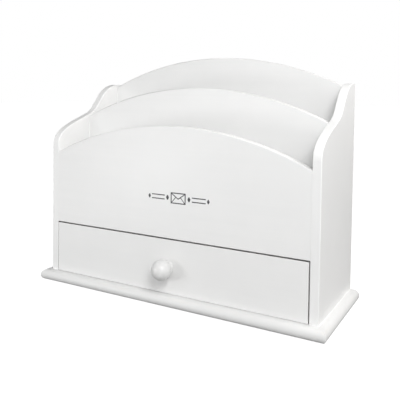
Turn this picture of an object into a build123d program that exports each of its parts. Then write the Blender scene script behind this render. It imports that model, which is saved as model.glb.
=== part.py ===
from build123d import *
import math
import os

# Letter rack with two pockets and a drawer. Millimetres.
# +Z up, the front faces -Y, +X is the right-hand end seen from the front.
# The origin is on the table, under the middle of the base board's rest face.

# ---------------------------------------------------------------- dimensions
case_w = 330.0          # over the two sides
case_d = 120.0          # front edge of the sides to the back
board = 9.0             # sides, panels and drawer front
base_t = 12.0           # base board
base_over = 10.0        # base beyond the case at the front and both ends
open_h = 59.3           # drawer opening, base top to front panel
floor_t = 6.0           # compartment floor

arch_r = 358.0          # one radius for the three arched tops
front_peak = 178.8      # arch heights above the base top
mid_peak = 220.6
back_peak = 259.2
mid_y = 54.0            # front face of the divider, from the case's front

side_front_h = 152.4    # side's straight front edge, above the base top
side_back_h = 227.2     # side's flat top at the back
# stepped S-curve of the side's top, from the front edge to the back flat. Each
# run starts where the last one ended, in its direction: an arc has its radius
# and the slope in degrees that it ends at, and a line has its length.
side_curve = [
    ("arc", 17.7, 40.0), ("arc", 54.0, 25.5), ("arc", 218.0, 19.8),
    ("line", 18.5), ("arc", 34.6, 49.8), ("line", None), ("arc", 42.6, 0.0),
]

arris = 0.9             # softened edges of the boards
drawer_arris = 0.4
joint_arris = 0.3       # side's inner front edge, beside drawer and front panel

left_gap = 0.5          # drawer front to the left side
right_gap = 1.3         # and to the right side, where the gap shows dark
top_gap = 1.35          # drawer front to front panel
run_gap = 0.3           # drawer above the base
drawer_side_t = 6.0
drawer_back_t = 6.0
drawer_bot_t = 3.0
drawer_side_gap = 1.0   # drawer box to each side
drawer_box_h = 46.0
drawer_end_gap = 0.6    # drawer back to back panel when shut
groove_up = 5.0         # bottom groove above the drawer's lower edge
groove_in = 3.0

knob_ball_r = 10.8
knob_ball_out = 11.6    # ball's centre in front of the drawer front
knob_z = 28.4           # above the base top
knob_neck_r = 6.4
knob_foot_r = 7.8

screw_r = 2.0           # knob screw, M4
screw_head_r = 4.0
screw_head_t = 2.4
washer_r = 5.5
washer_t = 0.9
hole_play = 0.05

base_screw_r = 1.75
base_screw_head_r = 3.5
base_screw_len = 30.0
brad_r = 0.6
brad_len = 25.0
brad_sunk = 1.6         # brad heads below the painted face
drawer_brad_len = 16.0

# ---------------------------------------------------------------- derived
H = case_w / 2
half_in = H - board                 # half the clear width inside
y_f = -(case_d + base_over) / 2 + base_over   # case front plane in the row frame
y_b = y_f + case_d                  # case back plane
z0 = base_t                         # base top
back_in = y_b - board               # front face of the back panel
mid_f = y_f + mid_y
mid_b = mid_f + board
arch_drop = arch_r - math.sqrt(arch_r**2 - half_in**2)
floor_z = z0 + open_h               # underside of front panel and floor
floor_top = floor_z + floor_t

os.makedirs("parts", exist_ok=True)


def named(solid, name):
    solid.label = name
    export_step(solid, f"parts/{name}.step")
    v = sum(s.volume for s in solid.solids())
    print(f"{name}: {len(solid.solids())} solid(s), {v / 1000:.2f} cm3")
    return solid


def block(x0, x1, y0, y1, z0_, z1_):
    return Pos((x0 + x1) / 2, (y0 + y1) / 2, (z0_ + z1_) / 2) * Box(
        x1 - x0, y1 - y0, z1_ - z0_
    )


def rod(x, y, z, r, length, direction):
    """A cylinder that starts at a point and runs along a direction."""
    return extrude(
        Plane(origin=(x, y, z), z_dir=direction) * Circle(r), amount=length
    )


def edges_near(solid, test):
    return [e for e in solid.edges() if test(e)]


# ---------------------------------------------------------------- brads
# Each side is bradded into the ends of the panels between the sides.
brad_rows = (
    [(y_f + board / 2, z) for z in (z0 + 76, z0 + 101, z0 + 126)]
    + [(mid_f + board / 2, z) for z in (z0 + 84, z0 + 122, z0 + 160)]
    + [(back_in + board / 2, z) for z in (z0 + 30, z0 + 88, z0 + 146, z0 + 200)]
    + [(y, floor_z + floor_t / 2) for y in (y_f + 31, y_f + 88)]
)


def side_brads(sign):
    rods = [
        rod(sign * (H - brad_sunk), y, z, brad_r, brad_len, (-sign, 0, 0))
        for y, z in brad_rows
    ]
    return rods


left_brads = side_brads(-1)
right_brads = side_brads(+1)
all_side_brads = left_brads + right_brads

# ---------------------------------------------------------------- base screws
screw_spots = [
    (s * (H - board / 2), y) for s in (-1, 1) for y in (y_f + 18, y_f + 60, y_f + 101)
] + [(x, back_in + board / 2) for x in (-92.0, 92.0)]


def base_screw(x, y):
    head = extrude(
        Plane(origin=(x, y, 0.6), z_dir=(0, 0, 1)) * Circle(base_screw_head_r),
        amount=0.5,
    )
    cone = Pos(x, y, 1.1) * Cone(
        base_screw_head_r,
        base_screw_r,
        2.2,
        align=(Align.CENTER, Align.CENTER, Align.MIN),
    )
    shank = rod(x, y, 1.1, base_screw_r, base_screw_len - 1.1, (0, 0, 1))
    cross = block(x - 1.9, x + 1.9, y - 0.4, y + 0.4, 0.5, 1.9) + block(
        x - 0.4, x + 0.4, y - 1.9, y + 1.9, 0.5, 1.9
    )
    return head + cone + shank - cross


base_screws = [base_screw(x, y) for x, y in screw_spots]


def base_screw_hole(x, y):
    """Countersunk hole, open below, that the screw fills."""
    mouth = rod(x, y, -0.1, base_screw_head_r, 1.2, (0, 0, 1))
    cone = Pos(x, y, 1.1) * Cone(
        base_screw_head_r,
        base_screw_r,
        2.2,
        align=(Align.CENTER, Align.CENTER, Align.MIN),
    )
    shank = rod(x, y, 1.1, base_screw_r, base_screw_len - 1.1, (0, 0, 1))
    return mouth + cone + shank


base_screw_holes = [base_screw_hole(x, y) for x, y in screw_spots]

# ---------------------------------------------------------------- base board
# A flat board with a half-round nose along the front and both ends, mitred
# where the runs meet at the front corners.
nose_r = base_t / 2
bx = H + base_over
by = y_f - base_over
base = block(-bx, bx, by, y_b, 0, base_t)
nose_edges = edges_near(
    base,
    lambda e: abs(e.center().Z - base_t / 2) > 1 and abs(e.center().Y - y_b) > 0.5,
)
base = fillet(nose_edges, nose_r - 0.05)
base = fillet(
    edges_near(
        base,
        lambda e: abs(e.center().Y - y_b) < 0.01 and abs(e.center().X) < 1,
    ),
    0.7,
)
for h in base_screw_holes:
    base = base - h
named(base, "base_board")

# ---------------------------------------------------------------- sides
def side_top():
    """The corner points and arc midpoints of the side's top, as (y, z)."""
    def arc_step(r, a0, a1):
        # positive turn is towards the flat, negative the other way
        a0, a1 = math.radians(a0), math.radians(a1)
        k = r if a1 < a0 else -r
        return k * (math.sin(a0) - math.sin(a1)), k * (math.cos(a1) - math.cos(a0))

    # the free line's length makes the curve end at the back flat's height
    rise, slope = 0.0, 90.0
    for run in side_curve:
        if run[0] == "arc":
            rise += arc_step(run[1], slope, run[2])[1]
            slope = run[2]
        elif run[1] is not None:
            rise += run[1] * math.sin(math.radians(slope))
        else:
            free_slope = slope
    free = (side_back_h - side_front_h - rise) / math.sin(math.radians(free_slope))

    y, z, slope, runs = y_f, z0 + side_front_h, 90.0, []
    for run in side_curve:
        start = (y, z)
        if run[0] == "arc":
            half = (slope + run[2]) / 2
            dy, dz = arc_step(run[1], slope, half)
            middle = (y + dy, z + dz)
            dy, dz = arc_step(run[1], slope, run[2])
            y, z, slope = y + dy, z + dz, run[2]
            runs.append((start, middle, (y, z)))
        else:
            length = free if run[1] is None else run[1]
            y += length * math.cos(math.radians(slope))
            z += length * math.sin(math.radians(slope))
            runs.append((start, (y, z)))
    return runs


def side(sign):
    runs = side_top()
    with BuildSketch(Plane.YZ) as sk:
        with BuildLine():
            Line((y_f, z0), (y_f, z0 + side_front_h))
            for run in runs:
                if len(run) == 3:
                    ThreePointArc(*run)
                else:
                    Line(*run)
            Polyline(runs[-1][-1], (y_b, z0 + side_back_h), (y_b, z0), (y_f, z0))
        make_face()
    body = extrude(sk.sketch, amount=board)          # grows along +X
    body = Pos(half_in if sign > 0 else -H, 0, 0) * body
    # the long run of front edge, curve and flat is softened on both faces, and
    # the outer face's back edge too
    soft = edges_near(
        body,
        lambda e: e.center().Z > z0 + 1
        and abs(abs(e.center().X) - (H - board / 2)) > board / 2 - 0.01
        and (abs(e.center().Y - y_b) > 0.5 or abs(e.center().X) > H - 0.01),
    )
    body = fillet(soft, arris)
    # the inner front edge is square where the front panel and drawer meet it
    a, b = sorted((sign * half_in, sign * (half_in + arris + 0.2)))
    square_top = z0 + front_peak - arch_drop - 0.6
    body = body + block(a, b, y_f, y_f + arris + 0.2, z0, square_top)
    body = fillet(
        edges_near(
            body,
            lambda e: abs(abs(e.center().X) - half_in) < 0.01
            and abs(e.center().Y - y_f) < 0.01
            and abs(e.center().Z - (z0 + square_top) / 2) < 1,
        ),
        joint_arris,
    )
    for h in base_screw_holes:
        body = body - h
    for b in left_brads if sign < 0 else right_brads:
        body = body - b
    return body


named(side(-1), "left_side")
named(side(+1), "right_side")


# ---------------------------------------------------------------- arched panels
def arched(y_front, z_low, peak, soft_bottom=False):
    """A board between the sides whose top is one arc, with softened arrises."""
    z_peak = z0 + peak
    z_end = z_peak - arch_drop
    with BuildSketch(Plane.XZ) as sk:
        with BuildLine():
            ThreePointArc((-half_in, z_end), (0, z_peak), (half_in, z_end))
            Polyline(
                (half_in, z_end), (half_in, z_low), (-half_in, z_low), (-half_in, z_end)
            )
        make_face()
    body = extrude(sk.sketch, amount=-board)         # grows along +Y
    body = Pos(0, y_front, 0) * body
    soft = edges_near(
        body,
        lambda e: e.geom_type == GeomType.CIRCLE
        or (
            soft_bottom
            and abs(e.center().Z - z_low) < 0.01
            and abs(e.center().X) < 1
        ),
    )
    return fillet(soft, arris)


front_panel = arched(y_f, floor_z, front_peak, soft_bottom=True)
middle_divider = arched(mid_f, floor_top, mid_peak)
back_panel = arched(back_in, z0, back_peak)
for b in all_side_brads:
    front_panel = front_panel - b
    middle_divider = middle_divider - b
    back_panel = back_panel - b
for h in base_screw_holes[-2:]:
    back_panel = back_panel - h
named(front_panel, "front_panel")
named(middle_divider, "middle_divider")
named(back_panel, "back_panel")

# ---------------------------------------------------------------- floor
compartment_floor = block(-half_in, half_in, y_f + board, back_in, floor_z, floor_top)
for b in all_side_brads:
    compartment_floor = compartment_floor - b
named(compartment_floor, "compartment_floor")

# ---------------------------------------------------------------- drawer
dz0 = z0 + run_gap                                   # drawer's lower edge
df_top = floor_z - top_gap
drawer_front = block(
    -half_in + left_gap, half_in - right_gap, y_f, y_f + board, dz0, df_top
)
drawer_front = fillet(
    edges_near(drawer_front, lambda e: abs(e.center().Y - y_f) < 0.01), drawer_arris
)
box_x = half_in - drawer_side_gap                    # outside of the drawer box
box_y0 = y_f + board
box_y1 = back_in - drawer_end_gap
box_top = dz0 + drawer_box_h
bot_z = dz0 + groove_up

bottom_solid = block(
    -(box_x - groove_in), box_x - groove_in,
    box_y0 - groove_in, box_y1 - groove_in,
    bot_z, bot_z + drawer_bot_t,
)


def drawer_side(sign):
    a, b = sorted((sign * box_x, sign * (box_x - drawer_side_t)))
    s = block(a, b, box_y0, box_y1, dz0, box_top)
    s = fillet(
        edges_near(
            s,
            lambda e: abs(e.center().Z - box_top) < 0.01
            and abs(abs(e.center().X) - (box_x - drawer_side_t / 2)) > 1,
        ),
        0.8,
    )
    return s - bottom_solid


d_left = drawer_side(-1)
d_right = drawer_side(+1)
in_x = box_x - drawer_side_t
d_back = block(-in_x, in_x, box_y1 - drawer_back_t, box_y1, dz0, box_top)
d_back = fillet(
    edges_near(
        d_back,
        lambda e: abs(e.center().Z - box_top) < 0.01 and abs(e.center().X) < 1,
    ),
    0.8,
)
d_back = d_back - bottom_solid
drawer_front = drawer_front - bottom_solid

# brads at the drawer's four corners: through the sides into the back, and
# through the front into the ends of the sides, set below the painted face
drawer_brads = []
for sign in (-1, 1):
    for z in (dz0 + 14, dz0 + 36):
        drawer_brads.append(
            rod(
                sign * (box_x - 0.8), box_y1 - drawer_back_t / 2, z,
                brad_r, drawer_brad_len, (-sign, 0, 0),
            )
        )
        drawer_brads.append(
            rod(
                sign * (box_x - drawer_side_t / 2), y_f + 1.6, z,
                brad_r, 20.0, (0, 1, 0),
            )
        )
for b in drawer_brads:
    d_left = d_left - b
    d_right = d_right - b
    d_back = d_back - b
    drawer_front = drawer_front - b

# knob: a turned ball on a short neck that flares to a foot
kz = z0 + knob_z
profile_ball_x = knob_ball_out
cut = math.sqrt(knob_ball_r**2 - knob_neck_r**2)
neck_end = knob_ball_out - cut                       # where the neck meets the ball
with BuildSketch(Plane.XY) as ks:
    with BuildLine():
        # local x = distance in front of the drawer front, local y = radius
        Line((0, 0), (0, knob_foot_r))
        ThreePointArc(
            (0, knob_foot_r),
            (neck_end * 0.40, knob_neck_r + 0.45),
            (neck_end, knob_neck_r),
        )
        ThreePointArc(
            (neck_end, knob_neck_r),
            (knob_ball_out, knob_ball_r),
            (knob_ball_out + knob_ball_r, 0),
        )
        Line((knob_ball_out + knob_ball_r, 0), (0, 0))
    make_face()
knob = revolve(ks.sketch, axis=Axis.X, revolution_arc=360)
knob = Pos(0, y_f, kz) * (Rot(0, 0, -90) * knob)
screw_in_knob = 12.0
screw_len = screw_in_knob + board + washer_t
head_y = y_f + board + washer_t
knob_hole = rod(0, y_f + 0.01, kz, screw_r + hole_play, screw_in_knob + 0.5, (0, -1, 0))
knob = knob - knob_hole
front_hole = rod(0, y_f - 1, kz, screw_r + hole_play, board + 2, (0, 1, 0))
drawer_front = drawer_front - front_hole
screw = rod(0, head_y, kz, screw_r, screw_len, (0, -1, 0)) + rod(
    0, head_y, kz, screw_head_r, screw_head_t, (0, 1, 0)
)
screw = fillet(
    edges_near(
        screw,
        lambda e: e.geom_type == GeomType.CIRCLE
        and abs(e.center().Y - (head_y + screw_head_t)) < 0.01,
    ),
    0.9,
)
cross = block(-2.0, 2.0, head_y + 1.2, head_y + 4, kz - 0.45, kz + 0.45) + block(
    -0.45, 0.45, head_y + 1.2, head_y + 4, kz - 2.0, kz + 2.0
)
screw = screw - cross
washer = rod(0, y_f + board, kz, washer_r, washer_t, (0, 1, 0)) - rod(
    0, y_f + board - 1, kz, screw_r + 0.15, washer_t + 2, (0, 1, 0)
)

named(drawer_front, "drawer_front")
named(d_left, "drawer_left_side")
named(d_right, "drawer_right_side")
named(d_back, "drawer_back")
named(bottom_solid, "drawer_bottom")
named(knob, "drawer_knob")
named(screw, "knob_screw")
named(washer, "knob_washer")
named(Compound(children=drawer_brads), "drawer_brads")
named(Compound(children=left_brads), "left_side_brads")
named(Compound(children=right_brads), "right_side_brads")
named(Compound(children=base_screws), "base_screws")

print("case front y", y_f, "back y", y_b, "floor z", floor_z, floor_top)
print("drawer box y", box_y0, box_y1, "knob centre", (0, y_f - knob_ball_out, kz))
print("arch end heights", [z0 + p - (arch_r - math.sqrt(arch_r**2 - half_in**2))
                           for p in (front_peak, mid_peak, back_peak)])
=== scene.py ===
import bpy, math
from mathutils import Matrix, Vector


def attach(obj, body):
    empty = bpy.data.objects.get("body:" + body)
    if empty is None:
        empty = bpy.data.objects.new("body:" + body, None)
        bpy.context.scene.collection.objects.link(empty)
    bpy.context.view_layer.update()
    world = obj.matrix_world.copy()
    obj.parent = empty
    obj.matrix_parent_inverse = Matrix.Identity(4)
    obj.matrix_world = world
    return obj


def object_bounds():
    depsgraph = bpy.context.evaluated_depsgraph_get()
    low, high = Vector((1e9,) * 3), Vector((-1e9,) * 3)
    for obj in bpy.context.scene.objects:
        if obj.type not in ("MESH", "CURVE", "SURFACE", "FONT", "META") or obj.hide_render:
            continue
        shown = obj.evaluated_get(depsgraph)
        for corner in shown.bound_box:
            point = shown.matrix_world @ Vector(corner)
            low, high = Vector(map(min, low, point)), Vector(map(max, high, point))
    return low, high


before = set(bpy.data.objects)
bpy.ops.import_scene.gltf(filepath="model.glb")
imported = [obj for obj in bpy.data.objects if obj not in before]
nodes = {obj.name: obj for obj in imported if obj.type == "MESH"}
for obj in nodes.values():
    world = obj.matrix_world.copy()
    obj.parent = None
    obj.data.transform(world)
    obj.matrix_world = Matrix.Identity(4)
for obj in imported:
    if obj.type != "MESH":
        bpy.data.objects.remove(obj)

bpy.context.view_layer.update()
CAD_LO, CAD_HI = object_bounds()
CAD_LO, CAD_HI = tuple(CAD_LO), tuple(CAD_HI)
MM = 0.001

# ---------------------------------------------------------------- node graphs
X, Y, Z = 0, 1, 2


class Graph:
    """A small writer for one material's or world's node tree."""

    def __init__(self, tree):
        self.t = tree
        tree.nodes.clear()

    def node(self, kind, **props):
        n = self.t.nodes.new(kind)
        for k, v in props.items():
            setattr(n, k, v)
        return n

    def put(self, socket, value):
        if isinstance(value, bpy.types.NodeSocket):
            self.t.links.new(value, socket)
        elif value is not None:
            socket.default_value = value

    def math(self, op, a, b=None, clamp=False):
        n = self.node("ShaderNodeMath", operation=op, use_clamp=clamp)
        self.put(n.inputs[0], a)
        self.put(n.inputs[1], b)
        return n.outputs[0]

    def add(self, *terms):
        total = terms[0]
        for t in terms[1:]:
            total = self.math("ADD", total, t)
        return total

    def mul(self, a, b):
        return self.math("MULTIPLY", a, b)

    def spread(self, value, lo, hi, to_lo=0.0, to_hi=1.0, smooth=True):
        n = self.node(
            "ShaderNodeMapRange",
            interpolation_type="SMOOTHSTEP" if smooth else "LINEAR",
        )
        self.put(n.inputs[0], value)
        for i, v in enumerate((lo, hi, to_lo, to_hi)):
            n.inputs[i + 1].default_value = v
        return n.outputs[0]

    def place(self):
        return self.node("ShaderNodeTexCoord").outputs["Object"]

    def scaled(self, vector, by):
        n = self.node("ShaderNodeVectorMath", operation="MULTIPLY")
        self.put(n.inputs[0], vector)
        n.inputs[1].default_value = by
        return n.outputs[0]

    def shifted(self, vector, by):
        n = self.node("ShaderNodeVectorMath", operation="ADD")
        self.put(n.inputs[0], vector)
        n.inputs[1].default_value = by
        return n.outputs[0]

    def axis(self, vector, which):
        n = self.node("ShaderNodeSeparateXYZ")
        self.put(n.inputs[0], vector)
        return n.outputs[which]

    def noise(self, vector, scale, detail=2.0, rough=0.5, bend=0.0):
        n = self.node("ShaderNodeTexNoise")
        self.put(n.inputs["Vector"], vector)
        n.inputs["Scale"].default_value = scale
        n.inputs["Detail"].default_value = detail
        n.inputs["Roughness"].default_value = rough
        n.inputs["Distortion"].default_value = bend
        return n.outputs["Fac"]

    def cells(self, vector, scale):
        n = self.node("ShaderNodeTexVoronoi", feature="F1")
        self.put(n.inputs["Vector"], vector)
        n.inputs["Scale"].default_value = scale
        return n.outputs["Distance"]

    def blend(self, fac, a, b):
        n = self.node("ShaderNodeMix", data_type="RGBA")
        self.put(n.inputs[0], fac)
        self.put(n.inputs[6], (*a, 1.0) if isinstance(a, tuple) else a)
        self.put(n.inputs[7], (*b, 1.0) if isinstance(b, tuple) else b)
        return n.outputs[2]

    def bump(self, height, distance, strength=1.0, normal=None):
        n = self.node("ShaderNodeBump")
        n.inputs["Strength"].default_value = strength
        n.inputs["Distance"].default_value = distance
        self.put(n.inputs["Height"], height)
        self.put(n.inputs["Normal"], normal)
        return n.outputs[0]


def surface(name):
    m = bpy.data.materials.new(name)
    m.use_nodes = True
    g = Graph(m.node_tree)
    out = g.node("ShaderNodeOutputMaterial")
    b = g.node("ShaderNodeBsdfPrincipled")
    g.put(out.inputs["Surface"], b.outputs[0])
    return m, g, b


def stretched(along, fine, coarse):
    """Scales for a streaky pattern: coarse along the board, fine across it."""
    return tuple(coarse if k == along else fine for k in (X, Y, Z))


# ---------------------------------------------------------------- materials
def painted(name, along, thick, white=(0.865, 0.865, 0.86), dim=(0.842, 0.844, 0.839),
            brush=1.0, grain=1.0, rough=0.40, seam=None, handled=None, gap_shade=()):
    """Brushed satin paint over board: streaks along the board, grain that shows
    faintly, fine orange peel, nibs, and softly rubbed arrises. Each box in the last
    argument, (lo, hi, how dark), is painted near black as shade inside the drawer
    opening and its gaps, with a faint board grain in it: painted shade."""
    m, g, b = surface(name)
    at = g.place()
    broad = g.noise(at, 9.0, 2.0, 0.5)
    cloud = g.noise(g.shifted(at, (3.1, 1.7, 5.3)), 38.0, 3.0, 0.55)
    streak = g.noise(g.scaled(at, stretched(along, 620.0, 9.0)), 1.0, 2.0, 0.6, 0.15)
    sweep = g.noise(g.scaled(at, stretched(along, 150.0, 4.0)), 1.0, 3.0, 0.55, 0.35)
    fibre = g.noise(g.scaled(g.shifted(at, (0.7, 0.2, 0.4)),
                             stretched(along, 1500.0, 26.0)), 1.0, 1.0, 0.5)
    peel = g.noise(at, 2100.0, 1.0, 0.4)
    nib = g.spread(g.cells(at, 95.0), 0.0, 0.055, 1.0, 0.0)
    nib = g.mul(nib, g.spread(g.noise(at, 60.0, 0.0), 0.56, 0.68))

    # arrises: the normal is neither across the board nor along its face
    n = g.math("ABSOLUTE", g.axis(g.node("ShaderNodeTexCoord").outputs["Normal"], thick))
    n2 = g.mul(n, n)
    edge = g.mul(g.mul(n2, g.math("SUBTRACT", 1.0, n2)), 4.0)
    rub = g.mul(g.spread(edge, 0.45, 1.0), g.spread(cloud, 0.50, 0.70))
    chip = g.mul(g.spread(edge, 0.6, 1.0),
                 g.spread(g.noise(at, 310.0, 2.0, 0.6), 0.66, 0.74))

    tone = g.add(g.mul(broad, 0.5), g.mul(cloud, 0.22), g.mul(sweep, 0.2 * grain),
                 g.mul(streak, 0.08))
    colour = g.blend(g.spread(tone, 0.38, 0.62), dim, white)
    colour = g.blend(g.mul(rub, 0.30), colour, (0.80, 0.785, 0.745))
    colour = g.blend(g.mul(chip, 0.35), colour, (0.70, 0.655, 0.575))
    colour = g.blend(g.mul(nib, 0.10), colour, (0.60, 0.59, 0.57))
    shine = g.add(rough, g.mul(g.math("SUBTRACT", broad, 0.5), 0.16),
                  g.mul(g.math("SUBTRACT", sweep, 0.5), 0.12),
                  g.mul(rub, -0.08), g.mul(chip, 0.18))
    height = g.add(g.mul(streak, 0.55 * brush), g.mul(sweep, 0.9 * grain),
                   g.mul(fibre, 0.12 * grain), g.mul(peel, 0.10), g.mul(nib, 0.8),
                   g.mul(chip, -1.2))
    if seam is not None:
        # a hairline where this board meets its neighbours
        ax, where, wide = seam
        off = g.math("ABSOLUTE", g.math("SUBTRACT", g.math("ABSOLUTE", g.axis(at, ax)),
                                        where))
        line = g.mul(g.spread(off, 0.0, wide, 1.0, 0.0),
                     g.spread(g.noise(at, 70.0, 2.0, 0.6), 0.30, 0.62, 0.35, 1.0))
        colour = g.blend(g.mul(line, 0.22), colour, (0.50, 0.49, 0.47))
        height = g.add(height, g.mul(line, -1.6))
    if handled is not None:
        # faint polish where fingers reach for the knob
        spot, reach = handled
        d = g.node("ShaderNodeVectorMath", operation="DISTANCE")
        g.put(d.inputs[0], at)
        d.inputs[1].default_value = spot
        near = g.mul(g.spread(d.outputs["Value"], reach * 0.35, reach, 1.0, 0.0),
                     g.spread(cloud, 0.30, 0.75))
        colour = g.blend(g.mul(near, 0.10), colour, (0.75, 0.74, 0.71))
        shine = g.add(shine, g.mul(near, -0.07))
    # painted shade: the boxes darken the drawer opening and its gaps nearly to black, where
    # shade falls; only the streaky grain in it is the board's own
    gap_shade_mask = None
    for low, high, how_dark in gap_shade:
        inside = None
        for ax in (X, Y, Z):
            v = g.axis(at, ax)
            if low[ax] is not None:
                f = g.spread(v, low[ax] - 0.25 * MM, low[ax] + 0.25 * MM)
                inside = f if inside is None else g.mul(inside, f)
            if high[ax] is not None:
                f = g.spread(v, high[ax] - 0.25 * MM, high[ax] + 0.25 * MM, 1.0, 0.0)
                inside = f if inside is None else g.mul(inside, f)
        inside = g.mul(inside, how_dark)
        gap_shade_mask = inside if gap_shade_mask is None else g.math("MAXIMUM", gap_shade_mask, inside)
    if gap_shade_mask is not None:
        # near-black colour for the painted shade in the gaps, streaked like board
        fibre2 = g.noise(g.scaled(at, stretched(along, 900.0, 300.0)), 1.0, 3.0, 0.6)
        board = g.blend(g.spread(fibre2, 0.35, 0.65), (0.105, 0.088, 0.070),
                        (0.165, 0.142, 0.118))
        colour = g.blend(g.mul(gap_shade_mask, g.spread(cloud, 0.25, 0.45, 0.90, 1.0)), colour, board)
        shine = g.add(shine, g.mul(gap_shade_mask, 0.35))
    g.put(b.inputs["Base Color"], colour)
    g.put(b.inputs["Roughness"], shine)
    b.inputs["IOR"].default_value = 1.46
    b.inputs["Specular IOR Level"].default_value = 0.5
    g.put(b.inputs["Normal"], g.bump(height, 0.00006, 0.55))
    return m


def turned(name, centre, rough=0.34):
    """The knob: the paint on a turned ball in a darker copy of the white, which is painted
    shade, with lathe rings round its axis.
    """
    m, g, b = surface(name)
    at = g.place()
    flat = g.scaled(g.shifted(at, tuple(-c for c in centre)), (1.0, 0.0, 1.0))
    ln = g.node("ShaderNodeVectorMath", operation="LENGTH")
    g.put(ln.inputs[0], flat)
    radius = ln.outputs["Value"]
    depth = g.axis(at, Y)
    rings = g.noise(g.add(g.mul(radius, 1.0), g.mul(depth, 1.0)), 1.0)
    comb = g.node("ShaderNodeCombineXYZ")
    g.put(comb.inputs[0], g.mul(radius, 900.0))
    g.put(comb.inputs[1], g.mul(depth, 900.0))
    comb.inputs[2].default_value = 3.7
    rings = g.noise(comb.outputs[0], 1.0, 1.0, 0.5)
    cloud = g.noise(at, 120.0, 3.0, 0.55)
    peel = g.noise(at, 2400.0, 1.0, 0.4)
    crown = g.spread(depth, centre[1] - 0.0108, centre[1] - 0.004, 1.0, 0.0)
    rub = g.mul(crown, g.spread(cloud, 0.42, 0.66))
    # darker than the boards' white: painted shade on the knob
    colour = g.blend(g.spread(cloud, 0.35, 0.65), (0.735, 0.737, 0.732), (0.755, 0.755, 0.75))
    colour = g.blend(g.mul(rub, 0.12), colour, (0.75, 0.735, 0.70))
    g.put(b.inputs["Base Color"], colour)
    g.put(b.inputs["Roughness"], g.add(rough, g.mul(g.math("SUBTRACT", cloud, 0.5), 0.14),
                                       g.mul(rub, -0.06)))
    b.inputs["IOR"].default_value = 1.46
    height = g.add(g.mul(rings, 0.5), g.mul(peel, 0.12), g.mul(cloud, 0.5))
    g.put(b.inputs["Normal"], g.bump(height, 0.00006, 0.5))
    return m


def washed(name, along, thick, light, dark, rough=0.52, depth=1.0):
    """Thinly painted softwood of the drawer box: grain and pores show through."""
    m, g, b = surface(name)
    at = g.place()
    wave = g.noise(g.scaled(at, stretched(along, 95.0, 3.2)), 1.0, 4.0, 0.55, 0.9)
    bands = g.node("ShaderNodeTexWave", wave_type="BANDS", bands_direction="DIAGONAL",
                   wave_profile="SAW")
    g.put(bands.inputs["Vector"], g.scaled(at, stretched(along, 60.0, 1.6)))
    bands.inputs["Scale"].default_value = 1.1
    bands.inputs["Distortion"].default_value = 5.0
    bands.inputs["Detail"].default_value = 2.0
    bands.inputs["Detail Scale"].default_value = 0.7
    pores = g.noise(g.scaled(at, stretched(along, 1700.0, 40.0)), 1.0, 1.0, 0.5)
    fleck = g.spread(pores, 0.60, 0.72)
    cloud = g.noise(at, 24.0, 2.0, 0.5)
    tone = g.add(g.mul(wave, 0.55), g.mul(bands.outputs["Fac"], 0.25), g.mul(cloud, 0.2))
    colour = g.blend(g.spread(tone, 0.30, 0.68), dark, light)
    colour = g.blend(g.mul(fleck, 0.30), colour, tuple(c * 0.84 for c in dark))
    n = g.math("ABSOLUTE", g.axis(g.node("ShaderNodeTexCoord").outputs["Normal"], thick))
    n2 = g.mul(n, n)
    edge = g.spread(g.mul(g.mul(n2, g.math("SUBTRACT", 1.0, n2)), 4.0), 0.3, 1.0)
    colour = g.blend(g.mul(g.mul(edge, g.spread(cloud, 0.4, 0.6)), 0.35), colour,
                     (0.66, 0.60, 0.50))
    g.put(b.inputs["Base Color"], colour)
    g.put(b.inputs["Roughness"], g.add(rough, g.mul(g.math("SUBTRACT", wave, 0.5), 0.18)))
    height = g.add(g.mul(tone, 0.8), g.mul(pores, 0.35), g.mul(fleck, -0.5))
    g.put(b.inputs["Normal"], g.bump(height, 0.00009 * depth, 0.6))
    return m


def hardboard(name, light, dark):
    """The drawer bottom: painted fibreboard, with short felted fibres."""
    m, g, b = surface(name)
    at = g.place()
    felt = g.noise(g.scaled(at, (420.0, 300.0, 300.0)), 1.0, 3.0, 0.6, 1.2)
    cloud = g.noise(at, 17.0, 3.0, 0.5)
    peel = g.noise(at, 1300.0, 1.0, 0.5)
    colour = g.blend(g.spread(g.add(g.mul(felt, 0.35), g.mul(cloud, 0.65)), 0.35, 0.65),
                     dark, light)
    colour = g.blend(g.mul(g.spread(felt, 0.62, 0.76), 0.22), colour, (0.62, 0.59, 0.54))
    g.put(b.inputs["Base Color"], colour)
    g.put(b.inputs["Roughness"], g.add(0.62, g.mul(g.math("SUBTRACT", felt, 0.5), 0.2)))
    g.put(b.inputs["Normal"],
          g.bump(g.add(g.mul(felt, 0.7), g.mul(peel, 0.3)), 0.00007, 0.6))
    return m


def plated(name, tint, rough, swirl=600.0):
    """Zinc or bright steel with fine tool marks and a little tarnish."""
    m, g, b = surface(name)
    at = g.place()
    marks = g.noise(g.scaled(at, (swirl, swirl * 3.0, swirl)), 1.0, 2.0, 0.6)
    spangle = g.node("ShaderNodeTexVoronoi", feature="F1")
    g.put(spangle.inputs["Vector"], at)
    spangle.inputs["Scale"].default_value = 900.0
    tarnish = g.spread(g.noise(at, 260.0, 3.0, 0.6), 0.50, 0.72)
    colour = g.blend(g.mul(spangle.outputs["Distance"], 0.5), tint,
                     tuple(c * 0.82 for c in tint))
    colour = g.blend(g.mul(tarnish, 0.35), colour, (0.40, 0.38, 0.34))
    g.put(b.inputs["Base Color"], colour)
    b.inputs["Metallic"].default_value = 1.0
    g.put(b.inputs["Roughness"], g.add(rough, g.mul(marks, 0.12), g.mul(tarnish, 0.16)))
    g.put(b.inputs["Normal"], g.bump(g.add(marks, g.mul(tarnish, 0.5)), 0.00003, 0.6))
    return m


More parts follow.
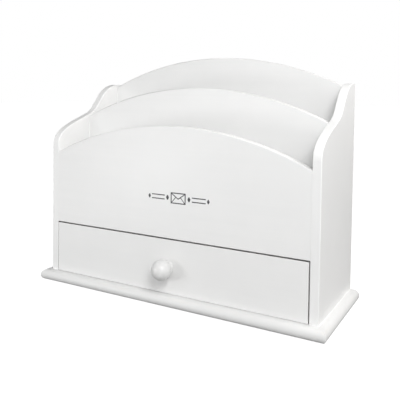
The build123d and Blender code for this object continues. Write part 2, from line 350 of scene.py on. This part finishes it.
def inked(name, tint):
    """Thin printed ink, worn a little thin in places."""
    m, g, b = surface(name)
    at = g.place()
    thin = g.noise(at, 420.0, 3.0, 0.6)
    press = g.noise(at, 1900.0, 1.0, 0.5)
    colour = g.blend(g.spread(g.add(g.mul(thin, 0.7), g.mul(press, 0.3)), 0.42, 0.66), tint,
                     tuple(min(1.0, c * 1.7 + 0.03) for c in tint))
    g.put(b.inputs["Base Color"], colour)
    g.put(b.inputs["Roughness"], g.add(0.5, g.mul(g.math("SUBTRACT", thin, 0.5), 0.25)))
    g.put(b.inputs["Normal"], g.bump(g.add(g.mul(thin, 0.6), g.mul(press, 0.4)), 0.00002, 0.5))
    return m


def dress(material, *names):
    for n in names:
        o = nodes[n]
        if not o.material_slots:
            o.data.materials.append(material)
        for s in o.material_slots:
            s.material = material


HALF, IN = 165.0 * MM, 156.0 * MM
Y_F, Y_B = -55.0 * MM, 65.0 * MM
Z0, FLOOR_TOP = 12.0 * MM, 77.3 * MM
KNOB = (0.0, Y_F - 11.6 * MM, 40.4 * MM)

# painted shade in the drawer's opening: near-black boxes start just behind the softened front
# edges, where the gaps fall into shade
FLOOR_Z = 71.3 * MM
# all boards wear one white paint; the divider and back panel get a lighter copy of it as painted
# light, the front panel, drawer front and base darker copies as painted shade
face_paint_shaded = painted("face_paint_shaded", X, Y, white=(0.85, 0.85, 0.845),
                     dim=(0.827, 0.829, 0.824), gap_shade=[
    ((None, Y_F + 0.75 * MM, None), (None, Y_F + 8.0 * MM, FLOOR_Z + 0.2 * MM), 1.0)])
divider_paint_lit = painted("divider_paint_lit", X, Y, white=(0.88, 0.88, 0.875),
                        dim=(0.857, 0.859, 0.854))
back_paint_lit = painted("back_paint_lit", X, Y, white=(0.88, 0.88, 0.875),
                     dim=(0.857, 0.859, 0.854), gap_shade=[
    ((None, None, Z0), (None, Y_B - 8.0 * MM, FLOOR_Z), 1.0)])
side_paint = painted("side_paint", Z, X, grain=0.8, gap_shade=[
    ((-IN - 0.2 * MM, Y_F + 0.5 * MM, Z0), (IN + 0.2 * MM, Y_B - 9.0 * MM, FLOOR_Z), 1.0)])
base_paint_shaded = painted("base_paint_shaded", X, Z, white=(0.785, 0.785, 0.78),
                     dim=(0.762, 0.763, 0.758), brush=0.9)
floor_paint = painted("floor_paint", X, Z, gap_shade=[
    ((None, None, None), (None, None, FLOOR_Z + 0.5 * MM), 1.0)])
# the drawer front's top edge, set back from its face, is half darkened: painted shade in the gap
# under the front panel
front_paint_shaded = painted("front_paint_shaded", X, Y, white=(0.84, 0.84, 0.835),
                      dim=(0.818, 0.82, 0.815), handled=(KNOB, 40.0 * MM), gap_shade=[
    ((None, Y_F + 0.9 * MM, FLOOR_Z - 1.55 * MM), (None, None, None), 0.42)])
knob_paint_shaded = turned("knob_paint_turned", KNOB)
dress(face_paint_shaded, "front_panel")
dress(divider_paint_lit, "middle_divider")
dress(back_paint_lit, "back_panel")
dress(side_paint, "left_side", "right_side")
dress(base_paint_shaded, "base_board")
dress(floor_paint, "compartment_floor")
dress(front_paint_shaded, "drawer_front")
dress(knob_paint_shaded, "drawer_knob")
dress(washed("drawer_side_wood", Y, X, (0.855, 0.855, 0.83), (0.785, 0.775, 0.735)),
      "drawer_left_side", "drawer_right_side")
dress(washed("drawer_back_wood", X, Y, (0.855, 0.855, 0.83), (0.785, 0.775, 0.735)),
      "drawer_back")
dress(hardboard("drawer_bottom_board", (0.84, 0.84, 0.815), (0.79, 0.785, 0.755)),
      "drawer_bottom")
dress(plated("zinc_plate", (0.66, 0.66, 0.64), 0.30), "base_screws", "knob_screw",
      "knob_washer")
dress(plated("bright_plate", (0.64, 0.64, 0.63), 0.26), "drawer_brads", "left_side_brads",
      "right_side_brads")


# ---------------------------------------------------------------- mesh helpers
def mesh(name, verts, faces, material, body, smooth=True, slot="white_paint"):
    me = bpy.data.meshes.new(name)
    me.from_pydata([tuple(v) for v in verts], [], faces)
    me.validate()
    me.update()
    if smooth:
        me.shade_smooth()
    o = bpy.data.objects.new(name, me)
    bpy.context.scene.collection.objects.link(o)
    me.materials.append(material)
    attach(o, body)
    return o


def tube_of(rings, closed_ends=True):
    """Quads between equal rings of points, and a fan at each end."""
    n, verts, faces = len(rings[0]), [], []
    for r in rings:
        verts += r
    for i in range(len(rings) - 1):
        for k in range(n):
            a, b = i * n + k, i * n + (k + 1) % n
            faces.append((a, b, b + n, a + n))
    if closed_ends:
        faces.append(tuple(reversed(range(n))))
        faces.append(tuple(range((len(rings) - 1) * n, len(rings) * n)))
    return verts, faces


def merged(parts):
    verts, faces = [], []
    for v, f in parts:
        base = len(verts)
        verts += v
        faces += [tuple(i + base for i in one) for one in f]
    return verts, faces


# ---------------------------------------------------------------- paint beads
def bead(stations, r, seed, taper=(True, True)):
    """Paint gathered in an inside corner: a concave quarter round that swells and
    thins a little. A station is (corner point, way out along one face, along the
    other)."""
    rings, total = [], len(stations) - 1
    for i, (c, a, b) in enumerate(stations):
        c, a, b = Vector(c), Vector(a), Vector(b)
        t = i / total
        w = 1.0 + 0.13 * math.sin(seed + 17.0 * t) + 0.09 * math.sin(2.3 * seed + 41.0 * t)
        if taper[0]:
            w *= min(1.0, 0.15 + 14.0 * t)
        if taper[1]:
            w *= min(1.0, 0.15 + 14.0 * (1.0 - t))
        q = r * w
        ring = []
        for k in range(6):
            th = math.radians(90.0 * k / 5)
            ring.append(c + a * q * (1 - math.cos(th)) + b * q * (1 - math.sin(th)))
        sink = 0.12 * MM
        ring[0] = c - a * sink + b * q
        ring[-1] = c + a * q - b * sink
        ring.append(c - a * sink - b * sink)
        rings.append([tuple(p) for p in ring])
    return tube_of(rings)


def straight(p, q, a, b, step=3.0 * MM):
    p, q = Vector(p), Vector(q)
    n = max(8, int((q - p).length / step))
    return [(p.lerp(q, i / n), a, b) for i in range(n + 1)]


beads = []
R_BEAD = 0.9 * MM
up = (0, 0, 1)
for s in (-1, 1):
    inward = (-s, 0, 0)
    for k, (y, way, top) in enumerate((
            (56.0, -1, 233.8), (8.0, 1, 195.2), (-1.0, -1, 195.2), (-46.0, 1, 153.4))):
        beads.append(bead(straight((s * IN, y * MM, FLOOR_TOP), (s * IN, y * MM, top * MM),
                                   inward, (0, way, 0)), R_BEAD, 1.0 + k + 5 * s))
    for k, (y1, y2) in enumerate(((-46.0, -1.0), (8.0, 56.0))):
        beads.append(bead(straight((s * IN, y1 * MM, FLOOR_TOP), (s * IN, y2 * MM, FLOOR_TOP),
                                   inward, up), R_BEAD, 2.0 + k - 3 * s, (False, False)))
for k, (y, way) in enumerate(((56.0, -1), (8.0, 1), (-1.0, -1), (-46.0, 1))):
    beads.append(bead(straight((-IN, y * MM, FLOOR_TOP), (IN, y * MM, FLOOR_TOP),
                               (0, way, 0), up), R_BEAD, 0.6 + k, (False, False)))
mesh("pocket_paint_beads", *merged(beads), floor_paint, "case")

ARRIS = 0.9 * MM
for s, name in ((-1, "left_foot_bead"), (1, "right_foot_bead")):
    # along the side's outer foot, round both arrises and across its front edge
    path = []
    y0 = Y_F + ARRIS
    for i in range(31):
        y = (Y_B - 0.6 * MM) + (y0 - (Y_B - 0.6 * MM)) * i / 30
        path.append(((s * HALF, y, Z0), (s, 0, 0), up))
    for i in range(1, 6):
        th = math.radians(90 * i / 6)
        d = (s * math.cos(th), -math.sin(th), 0)
        path.append(((s * (HALF - ARRIS) + d[0] * ARRIS, y0 + d[1] * ARRIS, Z0), d, up))
    for i in range(9):
        x = (HALF - ARRIS) + (IN + 0.3 * MM - (HALF - ARRIS)) * i / 8
        path.append(((s * x, Y_F, Z0), (0, -1, 0), up))
    mesh(name, *bead(path, 0.55 * MM, 2.0 + s, (False, True)), side_paint, "case")


# ---------------------------------------------------------------- filled brad heads
def filled_spot(centre, normal, r, proud, seed, sides=20, rings=4):
    """A low, slightly uneven dome of filler under the paint."""
    n = Vector(normal)
    u = n.orthogonal().normalized()
    v = n.cross(u)
    c = Vector(centre)
    verts, faces = [tuple(c + n * proud)], []
    for i in range(1, rings + 1):
        t = i / rings
        for k in range(sides):
            th = 2 * math.pi * k / sides
            q = r * t * (1 + 0.06 * math.sin(3 * th + seed) + 0.04 * math.sin(5 * th + 2 * seed))
            h = proud * (1 - t * t) ** 1.5 if i < rings else -0.05 * MM
            verts.append(tuple(c + u * q * math.cos(th) + v * q * math.sin(th) + n * h))
    for k in range(sides):
        faces.append((0, 1 + k, 1 + (k + 1) % sides))
    for i in range(rings - 1):
        for k in range(sides):
            a, b = 1 + i * sides + k, 1 + i * sides + (k + 1) % sides
            faces.append((a, a + sides, b + sides, b))
    last = 1 + (rings - 1) * sides
    under = len(verts)
    verts.append(tuple(c - n * 0.05 * MM))
    for k in range(sides):
        faces.append((last + (k + 1) % sides, last + k, under))
    return verts, faces


rows = ([(-50.5, z) for z in (88, 113, 138)] + [(3.5, z) for z in (96, 134, 172)]
        + [(60.5, z) for z in (42, 100, 158, 212)] + [(-24.0, 74.3), (33.0, 74.3)])
for s, name in ((-1, "left_filled_brads"), (1, "right_filled_brads")):
    spots = [filled_spot((s * HALF, y * MM, z * MM), (s, 0, 0), 1.5 * MM, 0.07 * MM, i + 0.4)
             for i, (y, z) in enumerate(rows)]
    mesh(name, *merged(spots), side_paint, "case")
spots = [filled_spot((s * 152.0 * MM, Y_F, z * MM), (0, -1, 0), 1.3 * MM, 0.045 * MM, i + s)
         for s in (-1, 1) for i, z in enumerate((26.3, 48.3))]
mesh("drawer_filled_brads", *merged(spots), front_paint_shaded, "drawer")


# ---------------------------------------------------------------- printed mark
def strip(points, wide, y_out, thick, closed=False):
    """A flat inked line on the front panel, mitred at its corners. Points are
    (x, z) in metres."""
    pts = [Vector((p[0], p[1])) for p in points]
    n, left, right = len(pts), [], []
    for i, p in enumerate(pts):
        before = pts[i - 1] if (i or closed) else None
        after = pts[(i + 1) % n] if (i < n - 1 or closed) else None
        d1 = (p - before).normalized() if before is not None else None
        d2 = (after - p).normalized() if after is not None else None
        d1, d2 = d1 or d2, d2 or d1
        n1, n2 = Vector((-d1.y, d1.x)), Vector((-d2.y, d2.x))
        m = (n1 + n2).normalized()
        m *= (wide / 2) / max(0.35, m.dot(n1))
        left.append(p + m)
        right.append(p - m)
    verts, faces = [], []
    for lo, hi in ((y_out, y_out + thick),):
        for q in (left, right):
            for p in q:
                verts.append((p.x, lo, p.y))
        for q in (left, right):
            for p in q:
                verts.append((p.x, hi, p.y))
    runs = n if closed else n - 1
    L, R, LB, RB = 0, n, 2 * n, 3 * n
    for i in range(runs):
        j = (i + 1) % n
        faces.append((L + i, L + j, R + j, R + i))
        faces.append((LB + j, LB + i, RB + i, RB + j))
        faces.append((L + j, L + i, LB + i, LB + j))
        faces.append((R + i, R + j, RB + j, RB + i))
    if not closed:
        faces.append((L, R, RB, LB))
        faces.append((R + n - 1, L + n - 1, LB + n - 1, RB + n - 1))
    return verts, faces


INK_Y, INK_T = Y_F - 0.05 * MM, 0.10 * MM
MARK = (12.6 * MM, 115.2 * MM)


def at_mark(*points):
    return [(MARK[0] + x * MM, MARK[1] + z * MM) for x, z in points]


def drop(x, z, wide, tall, sides=20):
    """A small inked lozenge with soft corners."""
    ring = []
    for k in range(sides):
        th = 2 * math.pi * k / sides
        c, q = math.cos(th), math.sin(th)
        ring.append((math.copysign(abs(c) ** 1.5, c) * wide / 2,
                     math.copysign(abs(q) ** 1.5, q) * tall / 2))
    pts = at_mark(*[(x + a, z + b) for a, b in ring])
    verts = [(p[0], INK_Y, p[1]) for p in pts] + [(p[0], INK_Y + INK_T, p[1]) for p in pts]
    faces = [tuple(range(sides)), tuple(reversed(range(sides, 2 * sides)))]
    for k in range(sides):
        j = (k + 1) % sides
        faces.append((j, k, k + sides, j + sides))
    return verts, faces


w, h = 8.6, 5.3
mark = [
    strip(at_mark((-w, -h), (w, -h), (w, h), (-w, h)), 1.15 * MM, INK_Y, INK_T, True),
    strip(at_mark((-w + 0.5, h - 0.5), (0, -0.7), (w - 0.5, h - 0.5)), 1.0 * MM, INK_Y,
          INK_T),
    strip(at_mark((-w + 0.5, -h + 0.5), (-2.9, 1.0)), 0.8 * MM, INK_Y, INK_T),
    strip(at_mark((w - 0.5, -h + 0.5), (2.9, 1.0)), 0.8 * MM, INK_Y, INK_T),
]
for s in (-1, 1):
    mark.append(strip(at_mark((s * 16.8, 2.1), (s * 33.0, 2.1)), 1.1 * MM, INK_Y, INK_T))
    mark.append(strip(at_mark((s * 16.8, -2.1), (s * 33.0, -2.1)), 1.1 * MM, INK_Y, INK_T))
    mark.append(drop(s * 13.2, 0.0, 3.4, 5.6))
    mark.append(drop(s * 36.0, 0.0, 3.0, 5.0))
mesh("envelope_mark", *merged(mark), inked("print_ink", (0.045, 0.045, 0.05)), "case",
     smooth=False, slot=None)


# ---------------------------------------------------------------- floor and light
def disc(name, r, rings, sides=96):
    verts, faces = [(0.0, 0.0, 0.0)], []
    for i in range(1, rings + 1):
        q = r * (i / rings) ** 2.2
        for k in range(sides):
            th = 2 * math.pi * k / sides
            verts.append((q * math.cos(th), q * math.sin(th), 0.0))
    for k in range(sides):
        faces.append((0, 1 + k, 1 + (k + 1) % sides))
    for i in range(rings - 1):
        for k in range(sides):
            a, b = 1 + i * sides + k, 1 + i * sides + (k + 1) % sides
            faces.append((a, a + sides, b + sides, b))
    me = bpy.data.meshes.new(name)
    me.from_pydata(verts, [], faces)
    me.update()
    o = bpy.data.objects.new(name, me)
    bpy.context.scene.collection.objects.link(o)
    return o


floor = disc("studio_floor", 60.0, 14)
floor.location.z = -0.1 * MM
fm, g, b = surface("studio_sweep")
at = g.place()
# the sweep is overexposed to white in the picture, but its bounce is that of a
# grey table
seen = g.node("ShaderNodeLightPath").outputs["Is Camera Ray"]
pale = g.blend(g.noise(at, 3.0, 2.0), (0.335, 0.335, 0.335), (0.345, 0.345, 0.345))
g.put(b.inputs["Base Color"], g.blend(seen, pale, (0.36, 0.36, 0.36)))
b.inputs["Emission Color"].default_value = (1.0, 1.0, 1.0, 1.0)
g.put(b.inputs["Emission Strength"], g.mul(seen, 0.93))
g.put(b.inputs["Roughness"], g.spread(g.noise(at, 40.0, 2.0), 0.3, 0.7, 0.86, 0.94))
b.inputs["Specular IOR Level"].default_value = 0.0
# looked at from below, the sweep lets the underside be seen
clear = g.node("ShaderNodeMixShader")
g.put(clear.inputs[0], g.mul(seen, g.node("ShaderNodeNewGeometry").outputs["Backfacing"]))
g.put(clear.inputs[1], b.outputs[0])
g.put(clear.inputs[2], g.node("ShaderNodeBsdfTransparent").outputs[0])
for n in list(g.t.nodes):
    if n.bl_idname == "ShaderNodeOutputMaterial":
        g.put(n.inputs["Surface"], clear.outputs[0])
floor.data.materials.append(fm)

# The sky is a soft studio dome: an even glow plus broad lobes, each given by its
# azimuth from the front towards +X, its elevation, how tight it is, and its colour.
GLOW = (0.0, 0.0, 0.0)
LOBES = [
    (0.0, 12.0, 4.0, (0.551, 0.555, 0.560)),
    (45.0, 12.0, 4.0, (0.840, 0.834, 0.825)),
    (90.0, 12.0, 4.0, (0.42, 0.415, 0.41)),
    (135.0, 12.0, 4.0, (0.15, 0.15, 0.15)),
    (180.0, 12.0, 4.0, (0.35, 0.35, 0.35)),
    (225.0, 12.0, 4.0, (0.25, 0.25, 0.25)),
    (270.0, 12.0, 4.0, (0.12, 0.12, 0.12)),
]
world = bpy.data.worlds.new("studio_dome")
bpy.context.scene.world = world
world.use_nodes = True
g = Graph(world.node_tree)
ray = g.node("ShaderNodeTexCoord").outputs["Generated"]


def dome(g, ray, glow, lobes):
    total = None
    n = g.node("ShaderNodeCombineColor")
    parts = [glow[0], glow[1], glow[2]]
    for az, el, tight, tint in lobes:
        a, e = math.radians(az), math.radians(el)
        d = (math.sin(a) * math.cos(e), -math.cos(a) * math.cos(e), math.sin(e))
        dot = g.node("ShaderNodeVectorMath", operation="DOT_PRODUCT")
        g.put(dot.inputs[0], ray)
        dot.inputs[1].default_value = d
        f = g.math("POWER", g.math("MAXIMUM", dot.outputs["Value"], 0.0), tight)
        parts = [g.add(p, g.mul(f, t)) if t else p for p, t in zip(parts, tint)]
    for i, p in enumerate(parts):
        g.put(n.inputs[i], p)
    return n.outputs[0]


light = g.node("ShaderNodeBackground")
g.put(light.inputs["Color"], dome(g, ray, GLOW, LOBES))
plain = g.node("ShaderNodeBackground")
plain.inputs["Color"].default_value = (1.0, 1.0, 1.0, 1.0)
mixer = g.node("ShaderNodeMixShader")
g.put(mixer.inputs[0], g.node("ShaderNodeLightPath").outputs["Is Camera Ray"])
g.put(mixer.inputs[1], light.outputs[0])
g.put(mixer.inputs[2], plain.outputs[0])
g.put(g.node("ShaderNodeOutputWorld").inputs["Surface"], mixer.outputs[0])



def lamp(name, spot, aim, size, power, tint=(1.0, 1.0, 1.0)):
    """A round softbox."""
    data = bpy.data.lights.new(name, "AREA")
    data.shape, data.size, data.energy, data.color = "DISK", size, power, tint
    o = bpy.data.objects.new(name, data)
    bpy.context.scene.collection.objects.link(o)
    o.location = spot
    o.rotation_euler = (Vector(aim) - Vector(spot)).to_track_quat("-Z", "Y").to_euler()
    return o


lamp("key_softbox", (0.42, -0.50, 0.55), (0.12, -0.05, 0.18), 0.30, 3.36)
lamp("side_softbox", (0.55, 0.10, 0.55), (0.0, 0.0, 0.20), 0.30, 1.75, (1.0, 0.985, 0.970))
lamp("low_left_softbox", (-0.25, -0.40, 0.10), (-0.15, -0.05, 0.03), 0.16, 0.39)
lamp("left_softbox", (-0.50, -0.50, 0.30), (-0.10, -0.05, 0.12), 0.30, 0.12)
lamp("top_softbox", (0.0, -0.34, 0.62), (0.0, -0.05, 0.12), 0.28, 0.19)

# ---------------------------------------------------------------- camera
F_PX, CX, CY = 535.4, 200.0, 122.0
YAW, PITCH, ROLL = 0.5105, 0.0346, 0.0138
EYE = Vector((304.38, -476.32 - 55.0, 203.16 + 12.0)) * MM
cam_data = bpy.data.cameras.new("camera")
cam = bpy.data.objects.new("camera", cam_data)
bpy.context.scene.collection.objects.link(cam)
bpy.context.scene.camera = cam
cam_data.sensor_fit = "HORIZONTAL"
cam_data.sensor_width = 36.0
cam_data.lens = F_PX / 400.0 * 36.0
cam_data.shift_x = (200.0 - CX) / 400.0
cam_data.shift_y = (CY - 200.0) / 400.0
cam_data.clip_start, cam_data.clip_end = 0.01, 200.0
fwd = Vector((-math.sin(YAW) * math.cos(PITCH), math.cos(YAW) * math.cos(PITCH),
              -math.sin(PITCH)))
right = Vector((math.cos(YAW), math.sin(YAW), 0.0))
upv = right.cross(fwd)
r2 = right * math.cos(ROLL) + upv * math.sin(ROLL)
u2 = upv * math.cos(ROLL) - right * math.sin(ROLL)
rot = Matrix((r2, u2, -fwd)).transposed()
cam.matrix_world = Matrix.Translation(EYE) @ rot.to_4x4()

view = bpy.context.scene.view_settings
view.view_transform = "Standard"
view.look = "None"
view.exposure = 0.0
view.gamma = 1.0

bpy.context.view_layer.update()
